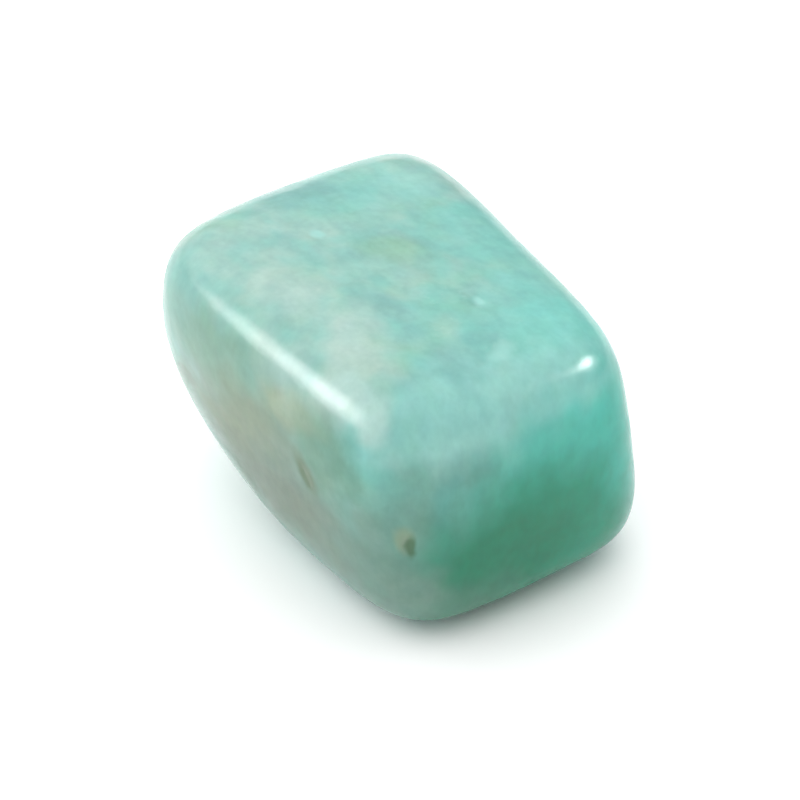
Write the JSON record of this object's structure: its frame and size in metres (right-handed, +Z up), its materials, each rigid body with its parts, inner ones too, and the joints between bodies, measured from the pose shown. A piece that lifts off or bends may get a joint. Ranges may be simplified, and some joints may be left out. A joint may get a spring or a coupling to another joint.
{
  "type": "tumbled amazonite",
  "caption": "Tumbled amazonite: a polished, rounded block of cloudy blue-green feldspar that rests on a small flat spot, for display, sorting or craft.",
  "frame": {"origin": "middle of the underside of the stone's box, on the surface that the stone rests on", "axes": "+X along the stone's long side, towards its deep green end; +Y towards its back; +Z up"},
  "size_m": [0.0244, 0.0194, 0.0158],
  "materials": {
    "amazonite": "polished"
  },
  "bodies": {
    "root": {"amazonite_stone": "amazonite"}
  },
  "joints": []
}
